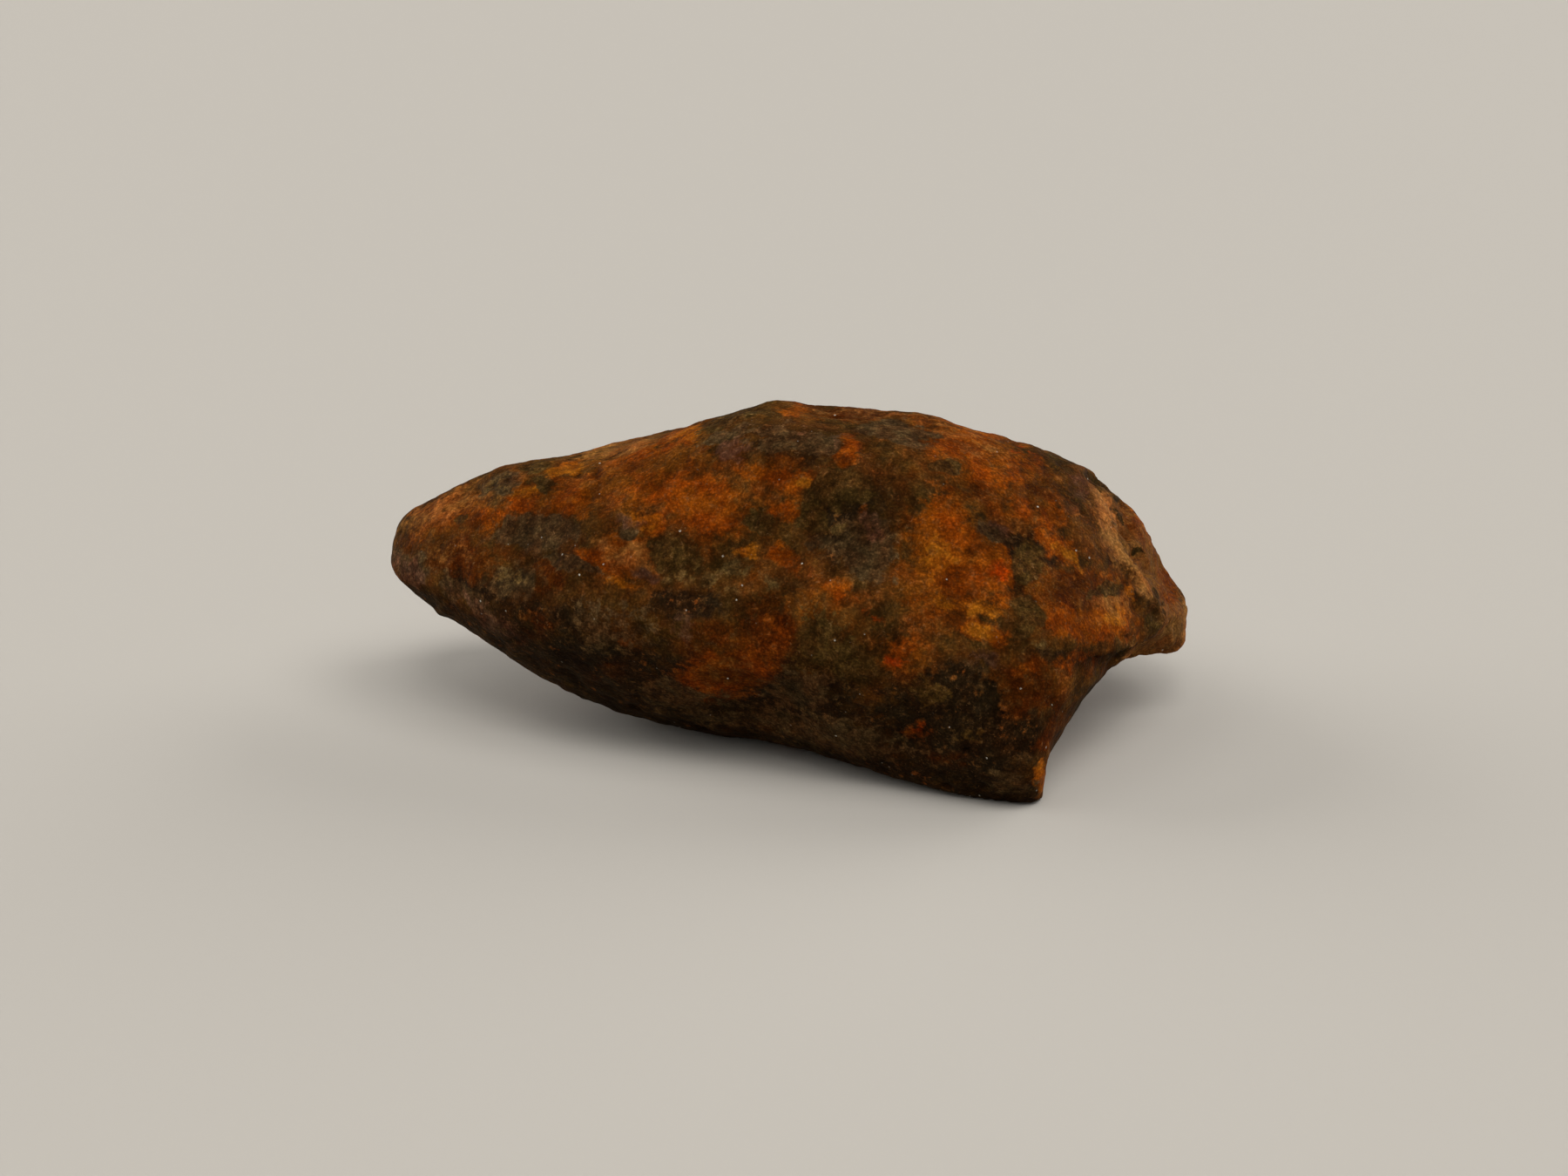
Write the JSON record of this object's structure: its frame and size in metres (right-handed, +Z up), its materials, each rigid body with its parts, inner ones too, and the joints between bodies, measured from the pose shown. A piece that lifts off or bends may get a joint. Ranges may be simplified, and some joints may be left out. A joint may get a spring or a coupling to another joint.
{
  "type": "iron meteorite",
  "caption": "Rusted natural iron mass with a blunt nose, crested back, overhanging belly and a rough broken end with a spur, lying on a small flat spot.",
  "frame": {"origin": "on the plane the mass rests on, under the middle of its box", "axes": "+X from the blunt nose to the broken end, the longest way; +Z up; -Y towards the full belly side"},
  "size_m": [0.099, 0.0504, 0.0392],
  "materials": {
    "rusted_iron": "granular semi-matt rust, mottled orange, red-brown, ochre and dark olive"
  },
  "bodies": {
    "root": {"meteorite": "rusted_iron"}
  },
  "joints": []
}
